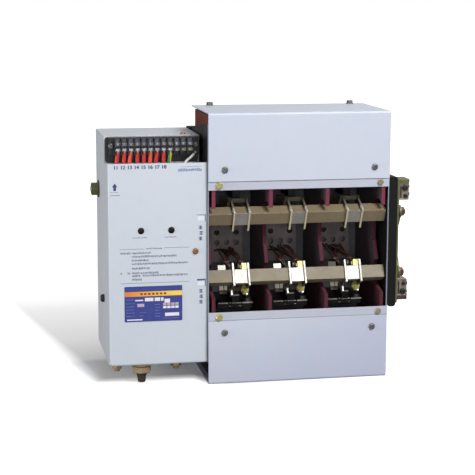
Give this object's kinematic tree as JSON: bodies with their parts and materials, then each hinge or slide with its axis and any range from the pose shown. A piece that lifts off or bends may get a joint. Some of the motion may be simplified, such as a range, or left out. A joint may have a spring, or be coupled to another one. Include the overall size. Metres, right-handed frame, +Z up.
{
  "type": "motorized disconnect switch",
  "caption": "Motor-driven two-source disconnect switch with maroon phase barriers, tan crossbars carrying knife contacts, pale sheet covers and a control box at its left.",
  "frame": {"origin": "ground level under the middle of the switch body's bottom cover", "axes": "+Z up, the window and covers face -Y, the control box stands at -X"},
  "size_m": [0.4451, 0.185, 0.376],
  "materials": {
    "pale_paint": "satin",
    "black_steel": "satin",
    "base_moulding": "matte",
    "barrier_moulding": "satin",
    "contact_copper": "satin",
    "tinned_copper": "satin",
    "black_laminate": "satin",
    "yellow_zinc": "satin",
    "grey_moulding": "matte",
    "black_plastic": "satin",
    "red_sleeve": "satin",
    "tan_insulation": "satin",
    "shaft_steel": "satin",
    "silvered_copper": "satin"
  },
  "bodies": {
    "frame": {"back_channel_top": "black_steel", "back_channel_bottom": "black_steel", "side_plate_left": "black_steel", "side_plate_right": "black_steel", "pole_base_1": "base_moulding", "pole_base_2": "base_moulding", "pole_base_3": "base_moulding", "phase_barrier_1": "barrier_moulding", "phase_barrier_2": "barrier_moulding", "phase_barrier_3": "barrier_moulding", "phase_barrier_4": "barrier_moulding", "front_rail_top": "pale_paint", "front_rail_bottom": "pale_paint", "top_cover": "pale_paint", "bottom_cover": "pale_paint", "line_contact_a_1": "contact_copper", "line_contact_a_2": "contact_copper", "line_contact_a_3": "contact_copper", "line_contact_b_1": "contact_copper", "line_contact_b_2": "contact_copper", "line_contact_b_3": "contact_copper", "load_contact_1": "tinned_copper", "load_contact_2": "tinned_copper", "load_contact_3": "tinned_copper", "bearing_plate": "black_laminate", "zinc_plate": "yellow_zinc", "aux_switches": "grey_moulding", "control_box": "pale_paint", "control_panel": "pale_paint", "terminal_strip": "black_plastic", "control_leads": "red_sleeve", "panel_buttons": "black_plastic", "earth_bolt": "yellow_zinc", "cable_gland": "yellow_zinc"},
    "bank_a": {"crossbar_a": "tan_insulation", "shaft_a": "shaft_steel", "knife_a_1": "silvered_copper", "knife_a_2": "silvered_copper", "knife_a_3": "silvered_copper", "end_lever_a": "yellow_zinc"},
    "bank_b": {"crossbar_b": "tan_insulation", "shaft_b": "shaft_steel", "knife_b_1": "silvered_copper", "knife_b_2": "silvered_copper", "knife_b_3": "silvered_copper", "end_lever_b": "yellow_zinc"}
  },
  "joints": [
    {"name": "bank_a_turn", "type": "hinge", "parent": "frame", "child": "bank_a", "pos_m": [0, -0.051, 0.2325], "axis": [1, 0, 0], "range_deg": [0, 40]},
    {"name": "bank_b_turn", "type": "hinge", "parent": "frame", "child": "bank_b", "pos_m": [0, -0.051, 0.146], "axis": [1, 0, 0], "range_deg": [-40, 0]}
  ]
}
